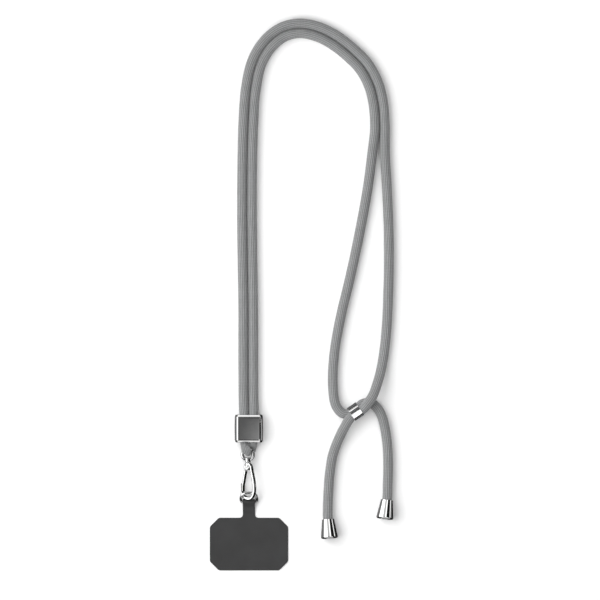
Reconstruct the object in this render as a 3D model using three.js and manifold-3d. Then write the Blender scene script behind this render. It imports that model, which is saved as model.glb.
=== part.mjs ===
// A phone strap worn across the body: one long cord doubled side by side, drawn together by a
// clamp, adjusted by a double-barrel slider, and hooked to a thin tab that sits behind a phone.
// Millimetres, +Z up. It lies on the surface z = 0. The origin is the centre of the tab's back face.
import * as THREE from 'three';
import { mergeVertices } from 'three/addons/utils/BufferGeometryUtils.js';
import Module from 'manifold-3d';

const wasm = await Module();
wasm.setup();

const clearance = 0.3; // between any two separate pieces

// Cord
const cordDiameter = 7.4;
const cordSides = 12;
const squeezedDiameter = 6.2; // where a metal piece grips it
const foldWidth = 4.6; // cord pressed flat where it turns round the swivel eye
const foldThickness = 3.2;
const foldSlack = 0.6; // room between the fold and the eye's wire, beyond the clearance

// Clamp: a square block that both strands run through
const clampWidth = 21.6;
const clampLength = 21.2;
const clampThickness = 11;
const clampFaceWidth = 15.8;
const clampBevelLength = 1.6;
const clampBevelDepth = 1.4;
const clampX = -0.1;

// Slider: two tubes side by side, rolled so that one lies on the surface
const barrelWall = 0.6;
const barrelLength = 8.3;
const barrelSeam = 0.25; // how far the tubes run into each other where they are soldered
const sliderHeading = 34.4; // degrees, left of its long direction towards +Y
const sliderRoll = 63.4; // degrees, the upper tube above the lower one
const sliderPlace = new THREE.Vector2(82.1, 102.5);

// End caps: cones that finish the two tails
const capMouthDiameter = 9.2;
const capFootDiameter = 13.1;
const capLength = 14.6;
const capRim = 0.6;
const capSocketDepth = 6;

// Swivel eye
const eyeWire = 2.5;
const eyeWidth = 10.9;
const eyeHeight = 10.6;
const eyeBossDiameter = 4.5;
const eyeBossLength = 3.7;
const eyeBossOverlap = 0.4; // how far the boss runs into the ring's wire
const eyeToClamp = 5.35; // from the middle of the eye's upper wire to the clamp's foot

// Snap hook, measured in its own plane
const hookThickness = 2.6;
const hookArmWidth = 2.3;
const hookNoseWidth = 1.1;
const hookRoll = 39; // degrees, its right side lifted from the surface
const hookBossDiameter = 5.2;
const hookHeadThickness = 3.4;
const hookNeckDiameter = 3.8;
const bossFloor = 0.3; // between the tongue's slot and the boss's outside
const pinDiameter = 1.6;
const pinHeadDiameter = 2.6;
const pinHeadLength = 1;
const gateWidth = 1.5;
const gateTipWidth = 0.9;
const gateTongueThickness = 1;
const rivetDiameter = 1.6;
const rivetHeadDiameter = 2.8;
const rivetHeadLength = 0.5;
const rivetProud = 0.2; // how far its heads stand out of the boss

// D-ring
const ringWire = 2.1;
const ringWidth = 14.3;
const ringHeight = 10.4;
const ringPitch = 33; // degrees, its round side lifted over the hook

// Tab
const tabWidth = 60.4;
const tabLength = 40.6;
const tabThickness = 0.8;
const tabCorner = 6.9;
const tabCornerRound = 2.2;
const neckWidth = 9.5;
const neckFillet = 2.4;
const neckLength = 12.4; // from the tab's edge to the D-ring's straight bar
const neckRoot = 1; // how far the tab's own outline goes on past the fillets
const hookAboveBar = 30.3; // from the D-ring's straight bar up to the hook's top

const axisX = -0.8; // the line that the eye, the pin and the hook share
const axisZ = clampThickness / 2;

// Places along the strap, from the tab up to the clamp
const barPlace = tabLength / 2 + neckLength;
const hookTop = barPlace + hookAboveBar;
const eyeBossFoot = hookTop + clearance;
const eyeBossTop = eyeBossFoot + eyeBossLength;
const eyeFoot = eyeBossTop - eyeBossOverlap - eyeWire;
const eyeBarY = eyeFoot + eyeHeight - eyeWire / 2;
const clampFoot = eyeBarY + eyeToClamp;
const clampTop = clampFoot + clampLength;
const clampCentre = new THREE.Vector3(clampX, (clampFoot + clampTop) / 2, clampThickness / 2);

const strandSpacing = cordDiameter + clearance;
const onSurface = cordDiameter / 2;

// Middle of the two strands where they lie side by side, from the clamp over the top: x, y
const pairRoute = [
  [-0.3, 113], [-0.5, 142], [-0.5, 180], [-1.1, 218], [-1.5, 256],
  [-1.3, 292], [-0.5, 323], [1.6, 352], [6.7, 373],
  [16, 387.3], [27, 395.3], [39, 397.9], [52, 395.6], [65, 389.4],
  [78.5, 379], [89, 368], [96.3, 354], [99.9, 339], [101, 322],
];

// Where the strands part: x, y, z
const innerRoute = [
  [95.4, 304.4, onSurface], [91.6, 274.8, onSurface], [85.4, 240.6, onSurface],
  [78, 205.8, onSurface], [70.8, 175.5, onSurface], [66.2, 150, onSurface],
  [64.65, 130, onSurface], [65.1, 116.6, onSurface], [66.4, 108.8, onSurface],
  [68.6, 104.4, onSurface], [71.2, 101.7, onSurface], [74.2, 100.5, 3.9],
];
const outerRoute = [
  [104.9, 302, onSurface], [106.6, 271, onSurface], [107.9, 235, onSurface],
  [107.5, 195, onSurface], [105.6, 160, onSurface], [102.6, 138, 4.2],
  [99.2, 124.8, 7.2], [95.6, 115.2, 10.6], [91.9, 109.4, 11.7],
];
const outerTailRoute = [
  [76.2, 94.9, 10.3], [73.7, 90.4, 8.5], [70.9, 85, 6.1], [67.7, 77.6, 4.2],
  [64.6, 68.6, onSurface], [62.3, 54, onSurface], [61.1, 38, onSurface],
];
const innerTailRoute = [
  [88.3, 108.5, onSurface], [92.3, 109.2, onSurface], [96.2, 107.7, onSurface],
  [99.8, 103.9, onSurface], [102.5, 98.6, onSurface], [104.7, 90.5, onSurface],
  [106.6, 78, onSurface], [107.4, 62, onSurface], [107, 46, onSurface],
];
const outerCapPlace = new THREE.Vector2(61, 19.35);
const outerCapHeading = 4.6; // degrees from straight down, towards +X
const innerCapPlace = new THREE.Vector2(106.4, 34.25);
const innerCapHeading = -7;

const strap = new THREE.Group();

const darkCord = { color: 0x8a8b8d, roughness: 0.85, metalness: 0 };
const chrome = { color: 0xc9cccf, roughness: 0.12, metalness: 1 };
const charcoal = { color: 0x454546, roughness: 0.75, metalness: 0 };

/** Add one named piece to a group. */
function addPiece(group, name, geometry, finish) {
  const mesh = new THREE.Mesh(geometry, new THREE.MeshStandardMaterial(finish));
  mesh.name = name;
  group.add(mesh);
  return mesh;
}

/** The solid for joining and cutting that a closed geometry bounds. */
function solidFrom(geometry) {
  const bare = geometry.clone();
  bare.deleteAttribute('normal');
  bare.deleteAttribute('uv');
  const merged = mergeVertices(bare.index ? bare.toNonIndexed() : bare, 1e-4);
  const mesh = new wasm.Mesh({
    numProp: 3,
    vertProperties: new Float32Array(merged.attributes.position.array),
    triVerts: new Uint32Array(merged.index.array),
  });
  return new wasm.Manifold(mesh);
}

/** The geometry of a joined or cut solid. */
function geometryFrom(solid) {
  const mesh = solid.getMesh();
  const geometry = new THREE.BufferGeometry();
  geometry.setAttribute('position', new THREE.BufferAttribute(mesh.vertProperties, 3));
  geometry.setIndex(new THREE.BufferAttribute(mesh.triVerts, 1));
  geometry.computeVertexNormals();
  return geometry;
}

/** A closed skin over rings of points; each ring runs anticlockwise seen from ahead. */
function skinOver(rings, closed = false) {
  const sides = rings[0].length;
  const index = [];
  const spans = closed ? rings.length : rings.length - 1;
  for (let i = 0; i < spans; i += 1) {
    const here = i * sides;
    const next = ((i + 1) % rings.length) * sides;
    for (let j = 0; j < sides; j += 1) {
      const k = (j + 1) % sides;
      index.push(here + j, here + k, next + k, here + j, next + k, next + j);
    }
  }
  if (!closed) {
    const last = (rings.length - 1) * sides;
    for (let j = 1; j < sides - 1; j += 1) {
      index.push(0, j + 1, j, last, last + j, last + j + 1);
    }
  }
  const geometry = new THREE.BufferGeometry();
  geometry.setFromPoints(rings.flat());
  geometry.setIndex(index);
  geometry.computeVertexNormals();
  return geometry;
}

/** One ring of points round a centre, with its half-sizes along two directions. */
function ringRound(centre, across, over, halfWidth, halfThickness, sides) {
  const ring = [];
  for (let j = 0; j < sides; j += 1) {
    const angle = ((j + 0.5) / sides) * Math.PI * 2;
    ring.push(centre.clone()
      .addScaledVector(across, halfWidth * Math.cos(angle))
      .addScaledVector(over, halfThickness * Math.sin(angle)));
  }
  return ring;
}

/** A cylinder that lies along Y between two heights, about the axis at x, z. */
function cylinderAlongY(radius, from, to, x = 0, z = 0, sides = 16) {
  const geometry = new THREE.CylinderGeometry(radius, radius, to - from, sides);
  geometry.translate(x, (from + to) / 2, z);
  return geometry;
}

/** A cylinder that stands along Z between two heights, about the axis at x, y. */
function cylinderAlongZ(radius, from, to, x, y, sides = 20) {
  const geometry = new THREE.CylinderGeometry(radius, radius, to - from, sides);
  geometry.rotateX(Math.PI / 2);
  geometry.translate(x, y, (from + to) / 2);
  return geometry;
}

/** A smooth curve through chosen points, one step from each point to the next. */
class Route extends THREE.CatmullRomCurve3 {
  getUtoTmapping(u) {
    return u;
  }
}

/** A round cord along a route. */
function cordAlong(points, diameter = cordDiameter) {
  const corners = [];
  for (let i = 0; i < cordSides; i += 1) {
    const angle = (i / cordSides) * Math.PI * 2;
    corners.push(new THREE.Vector2(Math.cos(angle), Math.sin(angle)).multiplyScalar(diameter / 2));
  }
  return new THREE.ExtrudeGeometry(new THREE.Shape(corners), {
    steps: points.length - 1,
    extrudePath: new Route(points, false, 'centripetal'),
    bevelEnabled: false,
  });
}

/** The pair's points moved half the strands' spacing to one side, as one strand's route. */
function strandBeside(route, side) {
  const middle = route.map(([x, y]) => new THREE.Vector3(x, y, onSurface));
  return middle.map((point, i) => {
    const before = middle[Math.max(i - 1, 0)];
    const after = middle[Math.min(i + 1, middle.length - 1)];
    const along = after.clone().sub(before).normalize();
    const left = new THREE.Vector3(-along.y, along.x, 0);
    return point.clone().addScaledVector(left, (side * strandSpacing) / 2);
  });
}

const asPoints = (rows) => rows.map(([x, y, z]) => new THREE.Vector3(x, y, z));
const inRadians = THREE.MathUtils.degToRad;

// Slider: the lower tube holds the inner strand, the upper tube the outer one
const barrelBore = squeezedDiameter + 2 * clearance;
const barrelDiameter = barrelBore + 2 * barrelWall;
const barrelSpacing = barrelDiameter - barrelSeam;
const sliderAxis = new THREE.Vector3(
  Math.cos(inRadians(sliderHeading)), Math.sin(inRadians(sliderHeading)), 0);
const towardUpper = new THREE.Vector3(sliderAxis.y, -sliderAxis.x, 0)
  .multiplyScalar(Math.cos(inRadians(sliderRoll)))
  .add(new THREE.Vector3(0, 0, Math.sin(inRadians(sliderRoll))));
const barrelHalfPlan = (barrelSpacing * Math.cos(inRadians(sliderRoll))) / 2;
const lowerBarrel = new THREE.Vector3(sliderPlace.x, sliderPlace.y, barrelDiameter / 2)
  .addScaledVector(new THREE.Vector3(sliderAxis.y, -sliderAxis.x, 0), -barrelHalfPlan);
const upperBarrel = lowerBarrel.clone().addScaledVector(towardUpper, barrelSpacing);

/** A place on a tube's axis, past its end by the given way out. */
function barrelMouth(barrel, side, out) {
  return barrel.clone().addScaledVector(sliderAxis, side * (barrelLength / 2 + out));
}

function buildSlider() {
  const tube = cylinderAlongY(barrelDiameter / 2, -barrelLength / 2, barrelLength / 2, 0, 0, 24);
  const bore = cylinderAlongY(barrelBore / 2, -barrelLength, barrelLength, 0, 0, 24);
  const standing = new THREE.Quaternion().setFromUnitVectors(new THREE.Vector3(0, 1, 0), sliderAxis);
  const placed = (geometry, centre) => geometry.clone()
    .applyQuaternion(standing).translate(centre.x, centre.y, centre.z);
  const body = solidFrom(placed(tube, lowerBarrel)).add(solidFrom(placed(tube, upperBarrel)));
  const hollow = solidFrom(placed(bore, lowerBarrel)).add(solidFrom(placed(bore, upperBarrel)));
  addPiece(strap, 'slider', geometryFrom(body.subtract(hollow)), chrome);
  for (const [name, barrel] of [['inner', lowerBarrel], ['outer', upperBarrel]]) {
    const ends = [barrelMouth(barrel, -1, 0), barrelMouth(barrel, 1, 0)];
    addPiece(strap, `${name}_cord_in_slider`, cordAlong(ends, squeezedDiameter), darkCord);
  }
}

// Caps
const capPitch = Math.atan((capFootDiameter - capMouthDiameter) / 2 / (capLength - capRim));

/** Where a cap's mouth is and which way its axis runs, for a cap that lies on its side. */
function capPose(place, heading) {
  const along = new THREE.Vector3(
    Math.sin(inRadians(heading)) * Math.cos(capPitch),
    -Math.cos(inRadians(heading)) * Math.cos(capPitch),
    Math.sin(capPitch));
  const mouth = new THREE.Vector3(place.x, place.y, (capMouthDiameter / 2) * Math.cos(capPitch));
  return { mouth, along };
}

const outerCap = capPose(outerCapPlace, outerCapHeading);
const innerCap = capPose(innerCapPlace, innerCapHeading);

function buildCap(name, pose) {
  const socket = cordDiameter / 2 + clearance;
  const mouth = capMouthDiameter / 2;
  const foot = capFootDiameter / 2;
  const profile = [
    [0, capSocketDepth], [socket, capSocketDepth], [socket, 0], [mouth, 0],
    [foot, capLength - capRim], [foot - capRim, capLength], [0, capLength],
  ];
  const outline = profile.map(([r, y]) => new THREE.Vector2(r, y));
  const cone = addPiece(strap, name, new THREE.LatheGeometry(outline, 28), chrome);
  cone.quaternion.setFromUnitVectors(new THREE.Vector3(0, 1, 0), pose.along);
  cone.position.copy(pose.mouth);
}

/** The last two points of a tail, on its cap's axis: one outside the mouth, one in the socket. */
function capEnd({ mouth, along }) {
  return [
    mouth.clone().addScaledVector(along, -3),
    mouth.clone().addScaledVector(along, capSocketDepth - clearance),
  ];
}

// Clamp
const clampBoreDiameter = squeezedDiameter + 2 * clearance + 0.2;
const clampBoreOffset = squeezedDiameter / 2 + clearance;

function buildClamp() {
  const halfWidth = clampWidth / 2;
  const halfFace = clampFaceWidth / 2;
  const halfThickness = clampThickness / 2;
  const sideDepth = halfWidth - halfFace;
  const section = new THREE.Shape();
  section.moveTo(-halfFace, -halfThickness);
  section.lineTo(halfFace, -halfThickness);
  section.absellipse(halfFace, 0, sideDepth, halfThickness, -Math.PI / 2, Math.PI / 2, false, 0);
  section.lineTo(-halfFace, halfThickness);
  section.absellipse(-halfFace, 0, sideDepth, halfThickness, Math.PI / 2, Math.PI * 1.5, false, 0);
  const block = new THREE.ExtrudeGeometry(section, {
    depth: clampLength - 2 * clampBevelLength,
    bevelThickness: clampBevelLength,
    bevelSize: clampBevelDepth,
    bevelOffset: -clampBevelDepth,
    bevelSegments: 1,
    curveSegments: 10,
  });
  block.rotateX(-Math.PI / 2);
  block.translate(clampCentre.x, clampFoot + clampBevelLength, clampCentre.z);
  let body = solidFrom(block);
  for (const side of [-1, 1]) {
    const bore = cylinderAlongY(clampBoreDiameter / 2, clampFoot - 1, clampTop + 1,
      clampCentre.x + side * clampBoreOffset, clampCentre.z, 20);
    body = body.subtract(solidFrom(bore));
  }
  addPiece(strap, 'clamp_block', geometryFrom(body), chrome);
}

// Swivel eye and the cord's fold round it
const eyeCentre = new THREE.Vector3(axisX, eyeFoot + eyeHeight / 2, axisZ);

function buildEye() {
  const steps = 28;
  const halfAcross = (eyeWidth - eyeWire) / 2;
  const halfAlong = (eyeHeight - eyeWire) / 2;
  const up = new THREE.Vector3(0, 0, 1);
  const rings = [];
  for (let i = 0; i < steps; i += 1) {
    const turn = (i / steps) * Math.PI * 2;
    const place = new THREE.Vector3(halfAcross * Math.cos(turn), halfAlong * Math.sin(turn), 0);
    const along = new THREE.Vector3(-halfAcross * Math.sin(turn), halfAlong * Math.cos(turn), 0);
    const outward = along.normalize().clone().cross(up);
    rings.push(ringRound(place.add(eyeCentre), outward, up.clone().negate(),
      eyeWire / 2, eyeWire / 2, 10));
  }
  const loop = solidFrom(skinOver(rings, true));
  const boss = solidFrom(cylinderAlongY(eyeBossDiameter / 2, eyeBossFoot, eyeBossTop, axisX, axisZ));
  const shoulder = eyeBossTop - pinHeadLength - 2 * clearance;
  const pinHole = cylinderAlongY(pinDiameter / 2 + clearance, eyeBossFoot - 1, eyeBossTop, axisX, axisZ);
  const headHole = cylinderAlongY(pinHeadDiameter / 2 + clearance, shoulder, eyeBossTop + 1.2,
    axisX, axisZ);
  const body = loop.add(boss).subtract(solidFrom(pinHole)).subtract(solidFrom(headHole));
  addPiece(strap, 'swivel_eye', geometryFrom(body), chrome);
}

function buildFold() {
  const bendRadius = eyeWire / 2 + clearance + foldSlack + foldThickness / 2;
  const x = clampCentre.x;
  const z = clampCentre.z;
  const round = squeezedDiameter / 2;
  const flatWide = foldWidth / 2;
  const flatThin = foldThickness / 2;
  // the middle line in the plane of the turn, with the strand's half-sizes: x, y, z, half, half
  const stations = [
    [x - clampBoreOffset, clampTop, z, round, round],
    [x - clampBoreOffset, clampFoot, z, round, round],
    [x - clampBoreOffset + 0.3, clampFoot - 2, z + 1.2, round + 0.1, round - 0.5],
    [x - clampBoreOffset + 0.9, eyeBarY + 1.6, z + bendRadius - 0.35, flatWide + 0.6, flatThin + 0.3],
  ];
  const turns = 6;
  const lean = 0.9; // the turn's two ends lie to the left and to the right of the eye's middle
  for (let i = 0; i <= turns; i += 1) {
    const turn = (i / turns) * Math.PI;
    stations.push([
      axisX - lean * Math.cos(turn), eyeBarY - bendRadius * Math.sin(turn),
      z + bendRadius * Math.cos(turn), flatWide, flatThin,
    ]);
  }
  stations.push(
    [x + clampBoreOffset - 0.9, eyeBarY + 1.6, z - bendRadius + 0.35, flatWide + 0.6, flatThin + 0.3],
    [x + clampBoreOffset - 0.3, clampFoot - 2, z - 1.2, round + 0.1, round - 0.5],
    [x + clampBoreOffset, clampFoot, z, round, round],
    [x + clampBoreOffset, clampTop, z, round, round],
  );
  const places = stations.map(([px, py, pz]) => new THREE.Vector3(px, py, pz));
  const rings = stations.map(([, , , halfWidth, halfThickness], i) => {
    const before = places[Math.max(i - 1, 0)];
    const after = places[Math.min(i + 1, places.length - 1)];
    const along = after.clone().sub(before).setX(0).normalize();
    const across = new THREE.Vector3(1, 0, 0);
    return ringRound(places[i], across, along.clone().cross(across), halfWidth, halfThickness, 12);
  });
  addPiece(strap, 'cord_fold', skinOver(rings), darkCord);
}

// Snap hook, built in its own plane: x across, y along the strap, z through its thickness
const hookFrame = new THREE.Group();
hookFrame.position.set(axisX, 0, axisZ);
hookFrame.rotation.y = -inRadians(hookRoll);
strap.add(hookFrame);

const rivetPlace = new THREE.Vector2(-0.3, hookTop - 3.1);

// Centre line of the hook's body from the head round to the nose: x, y below the hook's top, width
const hookArm = [
  [0.4, -1.2, 2.2], [1.9, -1.4, 2], [3, -2.6, 1.7], [3.6, -4.6, 1.6], [4.15, -7, 1.7],
  [4.8, -10.2, 2.1], [5.7, -14.3, hookArmWidth], [6.25, -19.6, hookArmWidth],
  [5.95, -22.8, hookArmWidth], [4.9, -25.4, hookArmWidth], [2.8, -27.1, hookArmWidth],
  [0.2, -27.6, hookArmWidth], [-2.5, -27, 2.1], [-4.7, -25.2, 1.8], [-5.85, -22.6, 1.2],
  [-6, -19.6, hookNoseWidth], [-5.9, -16.2, hookNoseWidth],
];

// Centre line of the gate from beside the rivet to its free end: x, y below the top, width
const gateArm = [
  [-2.15, -6, gateWidth], [-2.4, -7.3, gateWidth], [-3.1, -10.6, gateWidth],
  [-3.85, -14.3, 1.4], [-4.3, -16.5, 1.1], [-4.5, -18.4, gateTipWidth],
  [-4.5, -22.3, gateTipWidth],
];

/** A flat bar with broken edges along a centre line in the hook's plane. */
function barAlong(rows, thickness) {
  const places = rows.map(([x, y]) => new THREE.Vector3(x, y + hookTop, 0));
  const rings = rows.map(([, , width], i) => {
    const before = places[Math.max(i - 1, 0)];
    const after = places[Math.min(i + 1, places.length - 1)];
    const along = after.clone().sub(before).normalize();
    const over = new THREE.Vector3(0, 0, 1);
    const across = over.clone().cross(along);
    const half = width / 2;
    const cut = Math.min(0.32 * width, 0.32 * thickness);
    const corners = [
      [half, cut - thickness / 2], [half, thickness / 2 - cut],
      [half - cut, thickness / 2], [cut - half, thickness / 2],
      [-half, thickness / 2 - cut], [-half, cut - thickness / 2],
      [cut - half, -thickness / 2], [half - cut, -thickness / 2],
    ];
    return corners.map(([a, b]) => places[i].clone()
      .addScaledVector(across, a).addScaledVector(over, b));
  });
  return skinOver(rings);
}

const tongueSlot = gateTongueThickness + 2 * clearance;
const rivetTop = hookHeadThickness / 2 + rivetProud;

function buildHookBody() {
  const headHalf = hookHeadThickness / 2;
  const boss = cylinderAlongZ(hookBossDiameter / 2, -headHalf, headHalf, rivetPlace.x, rivetPlace.y);
  const neck = cylinderAlongY(hookNeckDiameter / 2, rivetPlace.y, hookTop);
  const pin = cylinderAlongY(pinDiameter / 2, hookTop - 1, eyeBossTop - clearance);
  const pinHead = cylinderAlongY(pinHeadDiameter / 2,
    eyeBossTop - clearance - pinHeadLength, eyeBossTop - clearance);
  const slotRadius = hookBossDiameter / 2 - bossFloor;
  const slot = cylinderAlongZ(slotRadius, -tongueSlot / 2, tongueSlot / 2, rivetPlace.x, rivetPlace.y);
  const mouth = new THREE.BoxGeometry(4.6, 4, tongueSlot);
  mouth.translate(rivetPlace.x - 0.9, rivetPlace.y - 2, 0);
  const rivetHole = cylinderAlongZ(rivetDiameter / 2 + clearance, -headHalf - 1, headHalf + 1,
    rivetPlace.x, rivetPlace.y, 14);
  let body = solidFrom(barAlong(hookArm, hookThickness));
  for (const part of [boss, neck, pin, pinHead]) {
    body = body.add(solidFrom(part));
  }
  for (const cut of [slot, mouth, rivetHole]) {
    body = body.subtract(solidFrom(cut));
  }
  for (const side of [-1, 1]) {
    const seat = rivetTop - rivetHeadLength - clearance;
    const ends = [side * seat, side * (rivetTop + 1)].sort((a, b) => a - b);
    const recess = cylinderAlongZ(rivetHeadDiameter / 2 + clearance, ...ends,
      rivetPlace.x, rivetPlace.y, 14);
    body = body.subtract(solidFrom(recess));
  }
  addPiece(hookFrame, 'hook_body', geometryFrom(body), chrome);
}

function buildRivet() {
  const shank = cylinderAlongZ(rivetDiameter / 2, -rivetTop, rivetTop, rivetPlace.x, rivetPlace.y, 14);
  const headFrom = rivetTop - rivetHeadLength;
  let body = solidFrom(shank);
  for (const [from, to] of [[-rivetTop, -headFrom], [headFrom, rivetTop]]) {
    const head = cylinderAlongZ(rivetHeadDiameter / 2, from, to, rivetPlace.x, rivetPlace.y, 14);
    body = body.add(solidFrom(head));
  }
  addPiece(hookFrame, 'gate_rivet', geometryFrom(body), chrome);
}

function buildGate() {
  const eyeRadius = hookBossDiameter / 2 - bossFloor - clearance;
  const half = gateTongueThickness / 2;
  const eye = cylinderAlongZ(eyeRadius, -half, half, rivetPlace.x, rivetPlace.y);
  const tongue = barAlong([[rivetPlace.x - 0.6, rivetPlace.y - hookTop, 2.4], [-2.35, -7, gateWidth]],
    gateTongueThickness);
  const hole = cylinderAlongZ(rivetDiameter / 2 + clearance, -2, 2, rivetPlace.x, rivetPlace.y, 14);
  const body = solidFrom(barAlong(gateArm, hookThickness)).add(solidFrom(eye))
    .add(solidFrom(tongue)).subtract(solidFrom(hole));
  addPiece(hookFrame, 'gate', geometryFrom(body), chrome);
}

// D-ring: its straight bar lies in the fold of the tab's neck
const foldHollow = ringWire / 2 + clearance;
const barHeight = foldHollow + tabThickness;

function buildRing() {
  const halfWidth = (ringWidth - ringWire) / 2;
  const height = ringHeight - ringWire;
  // Outline of the ring's centre line, as shares of its half width and of its height
  const outline = [
    [-0.82, 0], [-0.4, 0], [0.4, 0], [0.82, 0], [0.98, 0.13], [1, 0.44], [0.86, 0.78],
    [0.5, 0.96], [0, 1], [-0.5, 0.96], [-0.86, 0.78], [-1, 0.44], [-0.98, 0.13],
  ];
  const points = outline.map(([x, y]) => new THREE.Vector3(x * halfWidth, y * height, 0));
  const line = new THREE.CatmullRomCurve3(points, true, 'centripetal');
  const steps = 30;
  const over = new THREE.Vector3(0, 0, 1);
  const rings = [];
  for (let i = 0; i < steps; i += 1) {
    const along = line.getTangentAt(i / steps);
    rings.push(ringRound(line.getPointAt(i / steps), along.clone().cross(over),
      over.clone().negate(), ringWire / 2, ringWire / 2, 10));
  }
  const ring = addPiece(strap, 'd_ring', skinOver(rings, true), chrome);
  ring.position.set(0, barPlace, barHeight);
  ring.rotation.x = inRadians(ringPitch);
}

/** The tab's flat outline with cut corners, and the first part of its neck. */
function tabOutline() {
  const w = tabWidth / 2;
  const l = tabLength / 2;
  const c = tabCorner;
  const r = tabCornerRound * 0.414;
  const d = r * Math.SQRT1_2;
  const n = neckWidth / 2;
  const shape = new THREE.Shape();
  shape.moveTo(-w + c + r, -l);
  shape.lineTo(w - c - r, -l);
  shape.quadraticCurveTo(w - c, -l, w - c + d, -l + d);
  shape.lineTo(w - d, -l + c - d);
  shape.quadraticCurveTo(w, -l + c, w, -l + c + r);
  shape.lineTo(w, l - c - r);
  shape.quadraticCurveTo(w, l - c, w - d, l - c + d);
  shape.lineTo(w - c + d, l - d);
  shape.quadraticCurveTo(w - c, l, w - c - r, l);
  shape.lineTo(n + neckFillet, l);
  shape.absarc(n + neckFillet, l + neckFillet, neckFillet, -Math.PI / 2, -Math.PI, true);
  shape.lineTo(n, l + neckFillet + neckRoot);
  shape.lineTo(-n, l + neckFillet + neckRoot);
  shape.lineTo(-n, l + neckFillet);
  shape.absarc(-n - neckFillet, l + neckFillet, neckFillet, 0, -Math.PI / 2, true);
  shape.lineTo(-w + c + r, l);
  shape.quadraticCurveTo(-w + c, l, -w + c - d, l - d);
  shape.lineTo(-w + d, l - c + d);
  shape.quadraticCurveTo(-w, l - c, -w, l - c - r);
  shape.lineTo(-w, -l + c + r);
  shape.quadraticCurveTo(-w, -l + c, -w + d, -l + c - d);
  shape.lineTo(-w + c - d, -l + d);
  shape.quadraticCurveTo(-w + c, -l, -w + c + r, -l);
  return shape;
}

/** The neck seen from its side: up over the D-ring's bar, back under it and along the surface. */
function neckSide() {
  const t = tabThickness;
  const outer = foldHollow + t;
  const flapEnd = tabLength / 2 + neckFillet;
  const shape = new THREE.Shape();
  shape.moveTo(flapEnd - 1, 0);
  shape.lineTo(barPlace, 0);
  shape.absarc(barPlace, barHeight, outer, -Math.PI / 2, Math.PI * 0.64, false);
  shape.lineTo(barPlace - 5, 2 * t);
  shape.lineTo(flapEnd + 1.6, 2 * t);
  shape.lineTo(flapEnd - 1, t);
  const hollow = new THREE.Path();
  hollow.moveTo(barPlace, t);
  hollow.absarc(barPlace, barHeight, foldHollow, -Math.PI / 2, Math.PI * 0.7, false);
  hollow.lineTo(barPlace - 3.6, t + 0.1);
  hollow.lineTo(barPlace - 3.4, t);
  shape.holes.push(hollow);
  return shape;
}

function buildTab() {
  const plate = new THREE.ExtrudeGeometry(tabOutline(), {
    depth: tabThickness, bevelEnabled: false, curveSegments: 5,
  });
  const neck = new THREE.ExtrudeGeometry(neckSide(), {
    depth: neckWidth, bevelEnabled: false, curveSegments: 12,
  });
  // the side view is drawn in y and z, so it is stood up and spread across x
  neck.applyMatrix4(new THREE.Matrix4().makeBasis(
    new THREE.Vector3(0, 1, 0), new THREE.Vector3(0, 0, 1), new THREE.Vector3(1, 0, 0)));
  neck.translate(-neckWidth / 2, 0, 0);
  addPiece(strap, 'phone_tab', geometryFrom(solidFrom(plate).add(solidFrom(neck))), charcoal);
}

/** A strand's first points, level and straight out of the clamp. */
function fromClamp(side) {
  const x = clampCentre.x - (side * strandSpacing) / 2;
  return [clearance, 4].map((out) => new THREE.Vector3(x, clampTop + out, onSurface + 1.2));
}

/** The points on a tube's axis where a strand runs up to it. */
function intoSlider(barrel, side, straight) {
  return [barrelMouth(barrel, side, straight), barrelMouth(barrel, side, clearance)];
}

function buildCords() {
  const inner = [
    ...fromClamp(-1), ...strandBeside(pairRoute, -1), ...asPoints(innerRoute),
    ...intoSlider(lowerBarrel, -1, 1.2),
  ];
  const outer = [
    ...fromClamp(1), ...strandBeside(pairRoute, 1), ...asPoints(outerRoute),
    ...intoSlider(upperBarrel, 1, 1.6),
  ];
  const innerTail = [
    ...intoSlider(lowerBarrel, 1, 1.3).reverse(), ...asPoints(innerTailRoute), ...capEnd(innerCap),
  ];
  const outerTail = [
    ...intoSlider(upperBarrel, -1, 1.3).reverse(), ...asPoints(outerTailRoute), ...capEnd(outerCap),
  ];
  addPiece(strap, 'inner_strand', cordAlong(inner), darkCord);
  addPiece(strap, 'outer_strand', cordAlong(outer), darkCord);
  addPiece(strap, 'inner_tail', cordAlong(innerTail), darkCord);
  addPiece(strap, 'outer_tail', cordAlong(outerTail), darkCord);
}

buildCords();
buildFold();
buildClamp();
buildSlider();
buildCap('outer_tail_cap', outerCap);
buildCap('inner_tail_cap', innerCap);
buildEye();
buildHookBody();
buildRivet();
buildGate();
buildRing();
buildTab();

export default strap;
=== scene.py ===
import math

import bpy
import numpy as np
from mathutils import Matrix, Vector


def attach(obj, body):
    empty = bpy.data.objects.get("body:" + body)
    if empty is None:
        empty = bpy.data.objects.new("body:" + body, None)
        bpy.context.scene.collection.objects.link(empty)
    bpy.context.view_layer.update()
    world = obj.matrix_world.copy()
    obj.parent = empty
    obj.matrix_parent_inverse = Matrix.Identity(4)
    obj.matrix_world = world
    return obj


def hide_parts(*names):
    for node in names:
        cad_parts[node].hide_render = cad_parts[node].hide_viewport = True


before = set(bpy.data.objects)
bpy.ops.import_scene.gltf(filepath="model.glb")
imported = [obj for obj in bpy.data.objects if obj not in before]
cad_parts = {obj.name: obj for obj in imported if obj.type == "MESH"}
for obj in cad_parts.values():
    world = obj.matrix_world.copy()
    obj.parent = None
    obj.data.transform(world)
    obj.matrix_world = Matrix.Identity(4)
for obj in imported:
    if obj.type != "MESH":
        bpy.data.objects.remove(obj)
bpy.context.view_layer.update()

# A phone strap worn across the body, laid out flat and seen from straight above.
# Every new piece is a surface worked out with numpy, in millimetres, and put into its mesh in
# metres. x runs across the strap, y from the tab to the top of the loop, z up from the surface.

MM = 0.001
UP = np.array([0.0, 0.0, 1.0])
RIGHT = np.array([1.0, 0.0, 0.0])

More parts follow.
